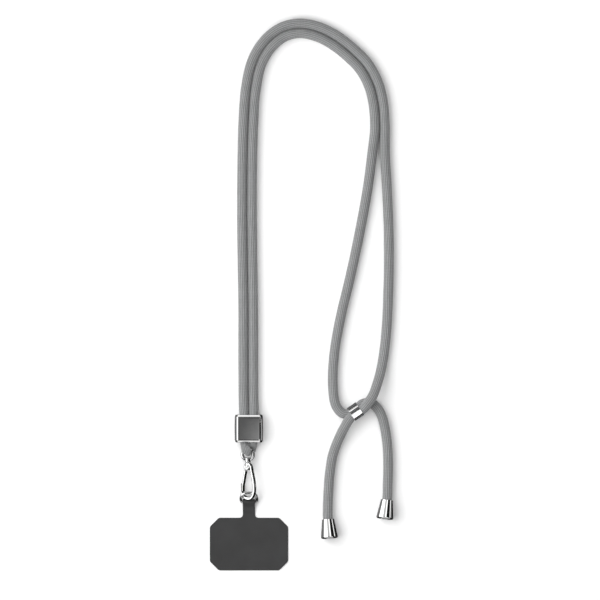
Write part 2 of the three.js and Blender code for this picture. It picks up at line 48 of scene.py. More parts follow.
# Curves
CURVE_POINTS = 24  # worked out from each given point to the next
ARC_SHARE = 0.42  # of a short side, the most that a corner's arc takes
PAST_ARC = 1.08  # place of the point that keeps a straight part straight, against the arc's reach

# Camera: the photograph's square on the surface, in mm
PHOTO_SIDE = 463.2
PHOTO_CENTRE = (39.41, 188.40)
LENS = 250.0
SENSOR = 36.0
SIGHT = 20  # how far the camera sees, in metres

# Cord
CORD_RADIUS = 3.73
CORD_IN_CLAMP = 3.25
CORD_IN_SLIDER = 3.22
CORD_STEP = 0.85  # from one row of its mesh to the next
CORD_COLUMNS = 96
RIBS = 16
RIB_HEIGHT = 0.24
RIB_MIDDLE = 0.75  # share of a rib's height that the plain radius stands for
STITCH = 2.3  # length of one knitted stitch
STITCH_HEIGHT = 0.03
STITCH_LEAN = 0.9
STRAND_SPACING = 7.7
ON_SURFACE = 3.7
CORD_START = 93.0  # inside the clamp
TUBE_LEAD = 1.3  # straight cord past each end of a tube
CAP_LEAD = 3  # straight cord before a cap
CAP_END_GAP = 0.4  # from the cord's end to the bottom of the cap's socket
CLAMP_SQUEEZE = (1.2, 0.9)  # how far past the clamp it reaches, and how softly it fades
SLIDER_SQUEEZE = (0.9, 0.55)
CLAMP_SPAN = 12  # to each side of the clamp's middle, the cord that it squeezes

# The cord's turn round the eye
FOLD_STEP = 0.4
FOLD_BEND = 3.75
FOLD_IN_BORE = 3.1
FOLD_FLAT = 1.6  # half its thickness where it is pressed flat

# Clamp
CLAMP_CENTRE = np.array([-0.1, 89.4, 5.5])
CLAMP_SIZE = (21.6, 21.2, 11.0)
CLAMP_FACE = 15.8
CLAMP_BEVEL = (1.6, 1.4)  # along the clamp, and into it
CLAMP_SOFT_EDGE = 0.14
CLAMP_SIDE_SHARE = 0.4
CLAMP_CROWN = 0.12
CLAMP_SWELL = 0.1
CLAMP_BORE = 3.5
CLAMP_BORE_OFFSET = 3.4

# Slider
SLIDER_PLACE = (82.1, 102.5)
SLIDER_HEADING = math.radians(34.4)
SLIDER_ROLL = math.radians(63.4)
BARREL_LENGTH = 8.3
BARREL_OUTER = 4.0
BARREL_BORE = 3.4
BARREL_SPACING = 7.75

# Caps
CAP_MOUTH = 4.6
CAP_FOOT = 6.55
CAP_FOOT_EDGE = 0.6
CAP_LENGTH = 14.6
CAP_SOCKET = 4.0
CAP_SOCKET_DEPTH = 6.0
CAP_SINK = 0.35  # depth of the sunk end

# Hook and eye
AXIS_X = -0.8
AXIS_Z = 5.5
HOOK_TOP = 63.0
HOOK_ROLL = math.radians(39)
HOOK_THICKNESS = 3.0
TONGUE_THICKNESS = 1.0
BAR_STEP = 0.22
EYE_CENTRE = np.array([AXIS_X, 69.4, AXIS_Z])
EYE_HALF = (4.2, 4.05)
EYE_WIRE = 1.25
BOSS_GAP = 0.3  # from the top of the hook's neck

# D-ring and tab
BAR_PLACE = 32.7
BAR_HEIGHT = 2.15
RING_WIRE = 1.05
RING_HALF = 6.1
RING_TALL = 8.3
RING_PITCH = math.radians(33)
TAB_SIZE = (60.4, 40.6)
TAB_THICKNESS = 0.8
TAB_CUT = 6.9
TAB_CORNER = 1.2
TAB_EDGE = 0.28
TAB_STEP = 0.45
NECK_HALF = 4.75
NECK_FILLET = 2.4
STRIP_HALF = 4.72
STRIP_BEND = 1.75
STRIP_TURN = np.radians(np.linspace(118, -90, 22))

# Surface and surroundings
FLOOR_REACH = 3.0  # in metres
FLOOR_DROP = 0.0001  # in metres
AIR_REST = 0.012  # brightness where there is no patch

# Routes of the cord: x, y and, past the loop's top, z
PAIR_ROUTE = [
    (-0.3, 113), (-0.5, 142), (-0.5, 180), (-1.1, 218), (-1.5, 256),
    (-1.3, 292), (-0.5, 323), (1.6, 352), (6.7, 373),
    (16, 387.3), (27, 395.3), (39, 397.9), (52, 395.6), (65, 389.4),
    (78.5, 379), (89, 368), (96.3, 354), (99.9, 339), (101, 322),
]
INNER_ROUTE = [
    (95.4, 304.4, 3.7), (91.6, 274.8, 3.7), (85.4, 240.6, 3.7),
    (78, 205.8, 3.7), (70.8, 175.5, 3.7), (66.2, 150, 3.7),
    (64.65, 130, 3.7), (65.1, 116.6, 3.7), (66.4, 108.8, 3.7),
    (68.6, 104.4, 3.7), (71.2, 101.7, 3.7), (74.2, 100.5, 3.9),
]
OUTER_ROUTE = [
    (104.9, 302, 3.7), (106.6, 271, 3.7), (107.9, 235, 3.7),
    (107.5, 195, 3.7), (105.6, 160, 3.7), (102.6, 138, 4.2),
    (99.2, 124.8, 7.2), (95.6, 115.2, 10.6), (91.9, 109.4, 11.7),
]
OUTER_TAIL_ROUTE = [
    (76.2, 94.9, 10.3), (73.7, 90.4, 8.5), (70.9, 85, 6.1), (67.7, 77.6, 4.2),
    (64.6, 68.6, 3.7), (62.3, 54, 3.7), (61.1, 38, 3.7),
]
INNER_TAIL_ROUTE = [
    (88.3, 108.5, 3.7), (92.3, 109.2, 3.7), (96.2, 107.7, 3.7),
    (99.8, 103.9, 3.7), (102.5, 98.6, 3.7), (104.7, 90.5, 3.7),
    (106.6, 78, 3.7), (107.4, 62, 3.7), (107, 46, 3.7),
]

# Bars in the hook's plane: x, y from its top, width
RIVET = (-0.3, -3.1)
HOOK_ARM = [
    (0.4, -1.2, 2.2), (1.9, -1.4, 2.0), (3.0, -2.6, 1.7), (3.6, -4.6, 1.6), (4.15, -7, 1.7),
    (4.8, -10.2, 2.1), (5.7, -14.3, 2.3), (6.25, -19.6, 2.3),
    (5.95, -22.8, 2.3), (4.9, -25.4, 2.3), (2.8, -27.1, 2.3),
    (0.2, -27.6, 2.3), (-2.5, -27, 2.1), (-4.7, -25.2, 1.8), (-5.85, -22.6, 1.2),
    (-6.0, -19.6, 1.1), (-5.9, -16.2, 1.1),
]
GATE_ARM = [
    (-2.05, -5.6, 1.5), (-2.4, -7.3, 1.5), (-3.1, -10.6, 1.5), (-3.85, -14.3, 1.4),
    (-4.3, -16.5, 1.1), (-4.5, -18.4, 0.9), (-4.5, -22.3, 0.9),
]
GATE_TONGUE = [(RIVET[0] - 0.9, RIVET[1] - 0.6, 2.6), (-1.7, -5.0, 2.2), (-2.3, -6.9, 1.4)]

# Profiles of turned pieces: radius, place along the axis
CAP_PROFILE = [
    (0.02, CAP_SOCKET_DEPTH), (CAP_SOCKET, CAP_SOCKET_DEPTH), (CAP_SOCKET, 0.0), (CAP_MOUTH, 0.0),
    (CAP_FOOT, CAP_LENGTH - CAP_FOOT_EDGE), (CAP_FOOT - CAP_FOOT_EDGE, CAP_LENGTH),
    (CAP_FOOT - 1.3, CAP_LENGTH), (CAP_FOOT - 1.6, CAP_LENGTH - CAP_SINK),
    (0.02, CAP_LENGTH - CAP_SINK),
]
BOSS_PROFILE = [(0.02, 0), (1.9, 0), (2.25, 0.5), (2.25, 3.0), (1.7, 3.7), (0.02, 3.7)]
HEAD_PROFILE = [
    (0.02, -1.7), (2.4, -1.7), (2.7, -1.4), (2.7, 1.4), (2.4, 1.7), (2.1, 1.7),
    (1.75, 0.75), (1.35, 0.75), (1.0, 1.3), (0.02, 1.3),
]
NECK_PROFILE = [(0.02, -2.6), (1.9, -2.6), (1.9, -0.5), (1.5, 0), (0.02, 0)]
PIN_PROFILE = [(0.8, -0.4), (0.8, 0.6)]
RIVET_PROFILE = [
    (0.02, -1.9), (0.65, -1.85), (0.95, -1.6), (1.0, -1.2), (1.0, 1.2), (0.95, 1.6),
    (0.65, 1.85), (0.02, 1.9),
]

# The D-ring's wire: x as a share of its half width, y as a share of its height
RING_ROUTE = [
    (-0.82, 0), (-0.4, 0), (0.4, 0), (0.82, 0), (0.98, 0.13), (1, 0.44), (0.86, 0.78),
    (0.5, 0.96), (0, 1), (-0.5, 0.96), (-0.86, 0.78), (-1, 0.44), (-0.98, 0.13),
]

# Patches of the surroundings: from x, to x, from y, to y, softness, brightness
AIR = [
    (-0.66, -0.34, -0.30, 0.46, 0.012, 1.9),
    (-0.34, -0.20, -0.30, 0.31, 0.012, 1.9),
    (-1.6, -0.67, -2.0, 2.0, 0.012, 0.19),
    (-0.18, 0.03, 0.18, 0.32, 0.015, 0.56),
    (0.04, 0.19, 0.16, 0.34, 0.015, 1.6),
    (0.58, 0.72, 0.13, 0.36, 0.012, 1.6),
    (0.82, 0.92, -0.2, -0.004, 0.006, 0.5),
    (0.70, 0.82, 0.02, 0.095, 0.015, 0.25),
    (-0.34, 0.34, 0.58, 0.76, 0.015, 1.1),
    (-0.34, 0.34, -0.76, -0.58, 0.015, 0.95),
    (0.06, 0.32, -0.42, -0.10, 0.02, 1.5),
    (-0.30, 0.24, -0.12, 0.12, 0.04, 0.09),
    (0.0, 0.20, -0.12, 0.0, 0.05, 0.22),
    (-0.60, -0.06, 0.36, 0.9, 0.03, 0.10),
]


# Curves

def unit(v):
    """Each vector divided by its length."""
    return v / np.linalg.norm(v, axis=-1, keepdims=True)


def arc_lengths(line):
    """Length run from the first point to each, as the sum of the chords."""
    return np.concatenate([[0], np.cumsum(np.linalg.norm(np.diff(line, axis=0), axis=1))])


def headings(line, closed=False):
    """Unit tangents by central differences."""
    if closed:
        return unit(np.roll(line, -1, 0) - np.roll(line, 1, 0))
    return unit(np.gradient(line, axis=0))


def even(line, step, closed=False):
    """The same polyline with points a fixed length apart; columns past the third go with it."""
    run = arc_lengths(line[:, :3])
    count = max(4, int(round(run[-1] / step)))
    at = np.linspace(0, run[-1], count + 1)[: count if closed else None]
    return np.column_stack([np.interp(at, run, line[:, k]) for k in range(line.shape[1])])


def smooth_line(points, step, closed=False):
    """Centripetal Catmull-Rom curve through the points, stepped evenly along its length.

    Between two points it is the cubic with tangents taken over the square roots of the chords.
    """
    p = np.array(points, float)
    if closed:
        p = np.vstack([p[-1], p, p[0], p[1]])
    else:
        p = np.vstack([2 * p[0] - p[1], p, 2 * p[-1] - p[-2]])
    u = np.linspace(0, 1, CURVE_POINTS, endpoint=False)[:, None]
    parts = []
    for a, b, c, d in zip(p[:-3], p[1:-2], p[2:-1], p[3:]):
        t0, t1, t2 = (np.linalg.norm(y - x) ** 0.5 for x, y in ((a, b), (b, c), (c, d)))
        m1 = ((b - a) / t0 - (c - a) / (t0 + t1) + (c - b) / t1) * t1
        m2 = ((c - b) / t1 - (d - b) / (t1 + t2) + (d - c) / t2) * t1
        parts.append(b + m1 * u + (3 * (c - b) - 2 * m1 - m2) * u**2
                     + (2 * (b - c) + m1 + m2) * u**3)
    line = np.vstack([*parts, p[1:2] if closed else p[-2:-1]])
    return even(line, step, closed)


def rounded(corners, radius, steps=4):
    """A profile whose inner corners are arcs: each a quadratic curve, radius in from its corner.

    A point a little before and after each arc keeps the straight parts straight.
    """
    corners = np.array(corners, float)
    out = [corners[:1]]
    t = np.linspace(0, 1, steps + 1)[:, None]
    for k in range(1, len(corners) - 1):
        before, here, after = corners[k - 1 : k + 2, None]
        sides = np.linalg.norm(before - here), np.linalg.norm(after - here)
        reach = min(radius, ARC_SHARE * sides[0], ARC_SHARE * sides[1])
        a = here + unit(before - here) * reach
        b = here + unit(after - here) * reach
        arc = (1 - t) ** 2 * a + 2 * t * (1 - t) * here + t**2 * b
        out += [here + (a - here) * PAST_ARC, arc, here + (b - here) * PAST_ARC]
    out.append(corners[-1:])
    return np.vstack(out)


# Surfaces: each gives vertices, faces, a UV for each corner and the faces that close its ends

def skin(grid, closed=False, uv=None):
    """A tube over a grid of points, rows along it and columns round it.

    Its faces point out: they are turned round where the sum of a . (b x c + c x d) is negative.
    """
    rows, cols = grid.shape[:2]
    i, j = np.meshgrid(np.arange(rows if closed else rows - 1), np.arange(cols), indexing="ij")
    ni, nj = (i + 1) % rows, (j + 1) % cols
    faces = np.stack([i * cols + j, i * cols + nj, ni * cols + nj, ni * cols + j], -1)
    faces = faces.reshape(-1, 4)
    corners = np.zeros((len(faces), 4, 2))
    if uv is not None:
        corners = np.stack([uv[i, j], uv[i, j + 1], uv[i + 1, j + 1], uv[i + 1, j]], -2)
        corners = corners.reshape(-1, 4, 2)
    vertices = grid.reshape(-1, 3)
    a, b, c, d = (vertices[faces[:, k]] for k in range(4))
    volume = np.einsum("ij,ij->i", a, np.cross(b, c) + np.cross(c, d)).sum()
    ends = []
    if not closed:
        ring = np.arange(cols)
        ends = [ring[::-1], ring + (rows - 1) * cols]
    if volume < 0:
        faces, corners = faces[:, ::-1], corners[:, ::-1]
        ends = [e[::-1] for e in ends]
    return vertices, faces, corners, ends


def turned(profile, foot, axis, sides=72, closed=False):
    """A body turned on an axis.

    At (r, y) of the profile it is foot + y axis + r (cos a e1 + sin a e2).
    """
    axis = unit(np.array(axis, float))
    e1 = unit(np.cross(axis, UP if abs(axis[2]) < 0.9 else RIGHT))
    e2 = np.cross(axis, e1)
    a = np.linspace(0, 2 * np.pi, sides, endpoint=False)
    spoke = np.cos(a)[:, None] * e1 + np.sin(a)[:, None] * e2
    profile = np.array(profile, float)
    grid = foot + profile[:, 1, None, None] * axis + profile[:, 0, None, None] * spoke
    return skin(grid, closed=closed)


def swept(line, over, section, closed=False, uv=None):
    """A section carried along a line.

    At (a, b) of the section it is line + a across + b over, where across = along x over.
    """
    along = headings(line, closed)
    over = unit(over - (over * along).sum(-1, keepdims=True) * along)
    across = np.cross(along, over)
    grid = line[:, None] + section[..., 0:1] * across[:, None] + section[..., 1:2] * over[:, None]
    return skin(grid, closed=closed, uv=uv)


def soft_square(half_width, half_height, corner, count=32, worn=0.0, worn_side=0.0):
    """A superellipse |a|^n + |b|^n = 1 with n = 2 / corner, at an even turn of its angle.

    The upper edge on the worn side, from -1 to 1 of a, has its corner value raised by worn.
    """
    t = np.linspace(0, 2 * np.pi, count, endpoint=False)
    worn_side = np.broadcast_to(worn_side, np.shape(half_width))
    toward = 0.5 + 0.5 * np.multiply.outer(worn_side, np.sign(np.cos(t)))
    corner = corner + worn * toward * (np.sin(t) > 0)
    a = np.sign(np.cos(t)) * np.abs(np.cos(t)) ** corner
    b = np.sign(np.sin(t)) * np.abs(np.sin(t)) ** corner
    return np.stack([half_width[:, None] * a, half_height[:, None] * b], -1)


def build(name, skins, finish, body, nodes):
    """One object from one or more closed skins, pressed flat where it lies on the surface."""
    vertices, faces, corners, count = [], [], [], 0
    for points, quads, uvs, ends in skins:
        vertices.append(points)
        faces += (quads + count).tolist() + [(e + count).tolist() for e in ends]
        corners += [uvs.reshape(-1, 2)] + [np.zeros((len(e), 2)) for e in ends]
        count += len(points)
    mesh = bpy.data.meshes.new(name)
    vertices = np.maximum(np.vstack(vertices), (-np.inf, -np.inf, 0))
    mesh.from_pydata((vertices * MM).tolist(), [], faces)
    layer = mesh.uv_layers.new(name="knit")
    layer.data.foreach_set("uv", np.vstack(corners).ravel())
    mesh.shade_smooth()
    mesh.materials.append(finish)
    piece = bpy.data.objects.new(name, mesh)
    bpy.context.scene.collection.objects.link(piece)
    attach(piece, body)
    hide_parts(*nodes)
    return piece


# Finishes

class Graph:
    """Nodes of a material, of the world or of a light, made by short calls."""

    def __init__(self, owner, shader="Principled BSDF"):
        owner.use_nodes = True
        self.owner = owner
        self.tree = owner.node_tree
        self.shader = self.tree.nodes[shader]

    def put(self, value, socket):
        """A link where the value is another node's output, and else the socket's own value."""
        if isinstance(value, bpy.types.NodeSocket):
            self.tree.links.new(value, socket)
        else:
            socket.default_value = value

    def node(self, kind, inputs=None, out=0, **settings):
        """One node with its settings and inputs, and of its outputs the one that is asked for."""
        made = self.tree.nodes.new(kind)
        for key, value in settings.items():
            setattr(made, key, value)
        for key, value in (inputs or {}).items():
            self.put(value, made.inputs[key])
        return made.outputs[out]

    def shade(self, **sockets):
        """The shader's own inputs, by name."""
        for key, value in sockets.items():
            self.put(value, self.shader.inputs[key.replace("_", " ")])

    def maths(self, operation, a, b=0.0, c=0.0):
        """One operation on up to three values."""
        return self.node("ShaderNodeMath", {0: a, 1: b, 2: c}, operation=operation)

    def split(self, vector):
        """A vector's x, y and z."""
        first = self.node("ShaderNodeSeparateXYZ", {0: vector})
        return list(first.node.outputs)

    def range(self, value, low, high, to_low, to_high, **settings):
        """The value carried from low and high to two new limits, and held between them."""
        return self.node("ShaderNodeMapRange", {0: value, 1: low, 2: high, 3: to_low, 4: to_high},
                         **settings)

    def between(self, amount, low, high):
        """A colour between two, by an amount from 0 to 1."""
        return self.node("ShaderNodeMix", {0: amount, 6: low, 7: high}, out=2, data_type="RGBA")

    def stretched(self, vector, stretch):
        """A vector with its x, y and z multiplied."""
        return self.node("ShaderNodeMapping", {"Vector": vector, "Scale": stretch})

    def here(self, stretch=(1, 1, 1)):
        """A point of the piece, in the piece's own coordinates."""
        return self.stretched(self.node("ShaderNodeTexCoord", out=3), stretch)

    def noise(self, vector, scale, detail=3.0, roughness=0.5):
        """Cloudy noise from 0 to 1."""
        return self.node("ShaderNodeTexNoise", {"Vector": vector, "Scale": scale, "Detail": detail,
                                                "Roughness": roughness})

    def bump(self, height, strength, distance):
        """A normal tilted by the slope of the height."""
        return self.node("ShaderNodeBump", {"Height": height, "Strength": strength,
                                            "Distance": distance})


def grey(value, tint=(1.0, 1.0, 1.0)):
    """A grey, each of red, green and blue multiplied by its tint."""
    return tuple(value * t for t in tint) + (1.0,)


def knitted_cord():
    """Ribbed knit: columns of V stitches, with painted shade in the grooves and between stitch
    rows, and single yarns lighter and darker.

    The UV counts ribs across and stitches along. A stitch's row leans by the distance from the
    rib's middle, which makes the V.
    """
    g = Graph(bpy.data.materials.new("knitted_cord"))
    uv = g.node("ShaderNodeUVMap", uv_map="knit")
    ribs, stitches, _ = g.split(uv)
    across = g.maths("ABSOLUTE", g.maths("SUBTRACT", g.maths("FRACT", ribs), 0.5))
    groove = g.range(across, 0.22, 0.5, 0.0, 1.0)
    row = g.maths("FRACT", g.maths("ADD", stitches, g.maths("MULTIPLY", across, STITCH_LEAN)))
    stitch = g.maths("PINGPONG", row, 0.5)
    yarn = g.noise(g.stretched(uv, (1.0, 0.22, 1.0)), 1.3, 3.0, 0.6)
    fine = g.noise(g.stretched(uv, (9.0, 3.0, 1.0)), 1.0, 2.0)
    tone = g.maths("ADD", g.maths("MULTIPLY", yarn, 0.55), g.maths("MULTIPLY", fine, 0.45))
    colour = g.between(g.range(tone, 0.3, 0.7, 0.0, 1.0), grey(0.22, (0.97, 0.99, 1.0)),
                       grey(0.34, (0.98, 0.995, 1.0)))
    # Painted shade: the grooves between ribs and the joins of the stitch rows are darkened towards
    # near black.
    painted_shade = g.maths("MULTIPLY", groove, 0.8)
    painted_shade = g.maths("ADD", painted_shade, g.range(stitch, 0.0, 0.16, 0.16, 0.0))
    colour = g.between(g.maths("MINIMUM", painted_shade, 0.85), colour, grey(0.06))
    height = g.maths("ADD", g.maths("MULTIPLY", stitch, 1.2), g.maths("MULTIPLY", fine, 0.5))
    g.shade(Base_Color=colour, Roughness=0.85, Normal=g.bump(height, 0.5, 0.0002))
    g.shade(Sheen_Weight=0.4, Sheen_Roughness=0.45, Specular_IOR_Level=0.25)
    return g.owner


def polished_chrome(name, tone, smooth, rough):
    """Mirror plating: faint haze in patches, hairline scratches and a barely uneven surface."""
    g = Graph(bpy.data.materials.new(name))
    haze = g.noise(g.here(), 160.0, 3.0, 0.6)
    hairline = g.noise(g.here((0.25, 3.0, 1.0)), 2600.0, 2.0)
    wave = g.noise(g.here(), 90.0, 1.0)
    colour = g.between(g.range(haze, 0.35, 0.65, 0.0, 1.0), grey(tone, (0.99, 0.995, 1.0)),
                       grey(tone * 1.07, (1.0, 0.998, 0.99)))
    roughness = g.maths("ADD", g.range(haze, 0.3, 0.7, smooth, rough),
                        g.range(hairline, 0.62, 0.8, 0.0, 0.05))
    height = g.maths("ADD", wave, g.maths("MULTIPLY", hairline, 0.05))
    g.shade(Base_Color=colour, Metallic=1.0, Roughness=roughness)
    g.shade(Normal=g.bump(height, 0.12, 0.00012))
    return g.owner


def matt_sheet():
    """Thin charcoal sheet: an even matt coat with a fine fibre grain and faint cloudiness."""
    g = Graph(bpy.data.materials.new("matt_sheet"))
    grain = g.noise(g.here(), 3800.0, 2.0, 0.6)
    fibre = g.noise(g.here((1.0, 0.16, 1.0)), 5200.0, 2.0)
    cloud = g.noise(g.here(), 55.0, 2.0)
    tone = g.maths("ADD", g.maths("MULTIPLY", grain, 0.5), g.maths("MULTIPLY", cloud, 0.5))
    colour = g.between(g.range(tone, 0.35, 0.65, 0.0, 1.0), grey(0.030),
                       grey(0.040, (1.0, 1.0, 1.02)))
    height = g.maths("ADD", grain, g.maths("MULTIPLY", fibre, 0.6))
    roughness = g.range(grain, 0.3, 0.7, 0.58, 0.7)
    g.shade(Base_Color=colour, Roughness=roughness, Normal=g.bump(height, 0.25, 0.00005))
    g.shade(Specular_IOR_Level=0.35)
    return g.owner


CORD = knitted_cord()
CHROME = polished_chrome("polished_chrome", 0.80, 0.02, 0.06)
CLAMP_CHROME = polished_chrome("clamp_chrome", 0.76, 0.03, 0.08)
SHEET = matt_sheet()


# Camera

def look_down():
    """Straight down on the photograph's middle, from where its square fills the view."""
    data = bpy.data.cameras.new("camera")
    data.lens = LENS
    data.sensor_width = SENSOR
    data.clip_end = SIGHT
    camera = bpy.data.objects.new("camera", data)
    camera.location = (PHOTO_CENTRE[0] * MM, PHOTO_CENTRE[1] * MM, PHOTO_SIDE * MM * LENS / SENSOR)
    bpy.context.scene.collection.objects.link(camera)
    bpy.context.scene.camera = camera


look_down()


# Where the cord's fittings lie

slider_axis = np.array([math.cos(SLIDER_HEADING), math.sin(SLIDER_HEADING), 0])
slider_side = np.array([slider_axis[1], -slider_axis[0], 0])
toward_upper = slider_side * math.cos(SLIDER_ROLL) + UP * math.sin(SLIDER_ROLL)
LOWER_BARREL = np.array([*SLIDER_PLACE, BARREL_OUTER]) - slider_side * (
    BARREL_SPACING * math.cos(SLIDER_ROLL) / 2)
UPPER_BARREL = LOWER_BARREL + toward_upper * BARREL_SPACING


def cap_pose(place, heading):
    """Where a cap's mouth is and which way its axis runs, lying on its side on the surface.

    The axis rises by the slope of the cone: atan((foot - mouth) / length of the flank).
    """
    pitch = math.atan((CAP_FOOT - CAP_MOUTH) / (CAP_LENGTH - CAP_FOOT_EDGE))
    along = np.array([math.sin(heading) * math.cos(pitch), -math.cos(heading) * math.cos(pitch),
                      math.sin(pitch)])
    return np.array([*place, CAP_MOUTH * math.cos(pitch)]), along


OUTER_CAP = cap_pose((61.0, 19.35), math.radians(4.6))
INNER_CAP = cap_pose((106.4, 34.25), math.radians(-7))


# Cord

def strand_route(side, route, barrel, into, tail, cap_place):
    """Points of one strand from inside the clamp, over the top, through a tube, into its cap.

    Over the top it runs half a spacing to the side of the pair's middle line.
    """
    middle = np.array([(x, y, ON_SURFACE) for x, y in PAIR_ROUTE])
    way = unit(np.vstack([middle[1] - middle[0], middle[2:] - middle[:-2],
                          middle[-1] - middle[-2]]))
    left = np.stack([-way[:, 1], way[:, 0], np.zeros(len(way))], -1)
    bore = CLAMP_CENTRE[0] - side * CLAMP_BORE_OFFSET
    start = [(bore, CORD_START, CLAMP_CENTRE[2]), (bore, 97.5, 5.4),
             (CLAMP_CENTRE[0] - side * STRAND_SPACING / 2, 104.0, 4.5)]
    half = BARREL_LENGTH / 2
    tube = [barrel - slider_axis * into * (half + out)
            for out in (TUBE_LEAD, -half, -2 * half - TUBE_LEAD)]
    mouth, along = cap_place
    end = [mouth - along * CAP_LEAD, mouth + along * (CAP_SOCKET_DEPTH - CAP_END_GAP)]
    return np.vstack([start, middle + left * side * STRAND_SPACING / 2, route, tube, tail, end])


def squeezed(line, barrel):
    """Cord radius along its line: full, but less inside the clamp and inside the slider's tube.

    Each squeeze sets in as 1 / (1 + exp((distance - reach) / fade)).
    """
    def near(distance, reach, fade):
        """1 up to the reach, then fading to 0."""
        return 1 / (1 + np.exp((distance - reach) / fade))

    past, fade = SLIDER_SQUEEZE
    in_slider = near(np.linalg.norm(line - barrel, axis=1), BARREL_LENGTH / 2 + past, fade)
    in_clamp = near(line[:, 1] - (CLAMP_CENTRE[1] + CLAMP_SIZE[1] / 2), *CLAMP_SQUEEZE)
    in_clamp *= np.abs(line[:, 0] - CLAMP_CENTRE[0]) < CLAMP_SPAN
    return (CORD_RADIUS - in_slider * (CORD_RADIUS - CORD_IN_SLIDER)
            - in_clamp * (CORD_RADIUS - CORD_IN_CLAMP))


def knit_section(run, half_width, half_height, twist=0.0):
    """Ribbed round section: radius plus ribs |cos(n a / 2)| and rows of stitches leaning in V's."""
    a = np.linspace(0, 2 * np.pi, CORD_COLUMNS, endpoint=False)
    rib = np.abs(np.cos(RIBS * a / 2)) ** 0.8
    lean = STITCH_LEAN * np.abs((RIBS * a / (2 * np.pi)) % 1 - 0.5)
    row = np.sin(2 * np.pi * (run[:, None] / STITCH + lean))
    lift = RIB_HEIGHT * (rib - RIB_MIDDLE) + STITCH_HEIGHT * row * rib
    angle = a + np.reshape(twist, (-1, 1))
    return np.stack([np.cos(angle) * (half_width[:, None] + lift),
                     np.sin(angle) * (half_height[:, None] + lift)], -1)


def knit_uv(run):
    """Ribs counted round the cord, from the middle of a groove, and stitches along it."""
    u = np.linspace(0, RIBS, CORD_COLUMNS + 1) + 0.5
    return np.stack(np.broadcast_arrays(u[None, :], run[:, None] / STITCH), -1)


def strand(name, points, barrel, nodes):
    """One strand and its line.

    At s along it the ribs are turned by 0.5 sin(s / 83) + 0.25 sin(s / 31 + 1).
    """
    line = smooth_line(points, CORD_STEP)
    run = arc_lengths(line)
    radius = squeezed(line, barrel)
    twist = 0.5 * np.sin(run / 83.0) + 0.25 * np.sin(run / 31.0 + 1.0)
    section = knit_section(run, radius, radius, twist)
    made = swept(line, np.broadcast_to(UP, line.shape), section, uv=knit_uv(run))
    return build(name, [made], CORD, "strap", nodes), line


inner_points = strand_route(-1, INNER_ROUTE, LOWER_BARREL, 1, INNER_TAIL_ROUTE, INNER_CAP)
outer_points = strand_route(1, OUTER_ROUTE, UPPER_BARREL, -1, OUTER_TAIL_ROUTE, OUTER_CAP)
inner_cord, inner_line = strand("inner_cord", inner_points, LOWER_BARREL,
                                ["inner_strand", "inner_cord_in_slider", "inner_tail"])
outer_cord, outer_line = strand("outer_cord", outer_points, UPPER_BARREL,
                                ["outer_strand", "outer_cord_in_slider", "outer_tail"])


def folded_cord():
    """The cord's turn round the eye: pressed flat, out of the left bore and back into the right.

    Round the wire its line is a half circle in y and z. It crosses from left to right as
    cos(turn)^5, and its half width is 2.3 + 1.3 cos(turn)^2.
    """
    x, y, z = CLAMP_CENTRE
    left, right = x - CLAMP_BORE_OFFSET, x + CLAMP_BORE_OFFSET
    foot = y - CLAMP_SIZE[1] / 2
    bar = EYE_CENTRE[1] + EYE_HALF[1]
    # Rows of x, y, z, half width and half thickness
    rows = [(left, foot + 5, z, FOLD_IN_BORE, FOLD_IN_BORE),
            (left, foot, z, FOLD_IN_BORE, FOLD_IN_BORE),
            (left, foot - 2, z + 1.1, 2.85, 2.6),
            (x - 3.0, bar + 1.6, z + FOLD_BEND - 0.4, 3.0, 1.9)]
    for turn in np.linspace(0, np.pi, 9):
        aside = (1.5 if turn < 1.6 else 2.8) * math.cos(turn) ** 5
        rows.append((AXIS_X - aside, bar - FOLD_BEND * math.sin(turn),
                     z + FOLD_BEND * math.cos(turn), 2.3 + 1.3 * math.cos(turn) ** 2, FOLD_FLAT))
    rows += [(x + 3.1, bar + 1.6, z - FOLD_BEND + 0.4, 3.0, 1.9),
             (right, foot - 2, z - 1.1, 2.85, 2.6),
             (right, foot, z, FOLD_IN_BORE, FOLD_IN_BORE),
             (right, foot + 5, z, FOLD_IN_BORE, FOLD_IN_BORE)]
    rows = smooth_line(rows, FOLD_STEP)
    line = rows[:, :3]
    over = np.cross(headings(line * (0, 1, 1)), RIGHT)
    run = arc_lengths(line)
    section = knit_section(run, rows[:, 3], rows[:, 4])
    build("cord_turn", [swept(line, over, section, uv=knit_uv(run))], CORD, "strap",
          ["cord_fold"])


folded_cord()


# Clamp

def clamp_edge(inset, crown=0.0):
    """Points of a square with elliptical sides; the sides draw in less than the faces at the ends.

    The faces swell by swell (1 - (x / half)^2).
    """
    half_width = CLAMP_SIZE[0] / 2 - inset * CLAMP_SIDE_SHARE + crown
    half_height = CLAMP_SIZE[2] / 2 - inset + crown
    face = CLAMP_FACE / 2
    t = np.linspace(-np.pi / 2, np.pi / 2, 45)
    flat = np.linspace(face, -face, 26)[1:-1]
    top = half_height + CLAMP_SWELL * (1 - (flat / face) ** 2)
    side_x, side_z = face + (half_width - face) * np.cos(t), half_height * np.sin(t)
    x = np.concatenate([side_x, flat, -side_x[::-1], -flat])
    z = np.concatenate([side_z, top, side_z[::-1], -top])
    return np.stack([x, z], -1)


CLAMP_ANGLES = np.arctan2(*clamp_edge(0.0).T[::-1])


def clamp_outline(angle, inset, crown=0.0):
    """Distance from the middle to the clamp's edge at each angle."""
    x, z = clamp_edge(inset, crown).T
    around = np.arctan2(z, x)
    order = np.argsort(around)
    return np.interp(angle, around[order], np.hypot(x, z)[order], period=2 * np.pi)


def bore_outline(angle, grow):
    """Distance from the middle to the rim of two holes side by side.

    For holes of radius r, d to each side: d |cos a| + sqrt(r^2 - (d sin a)^2).
    """
    r, d = CLAMP_BORE + grow, CLAMP_BORE_OFFSET
    return d * np.abs(np.cos(angle)) + np.sqrt(r**2 - (d * np.sin(angle)) ** 2)


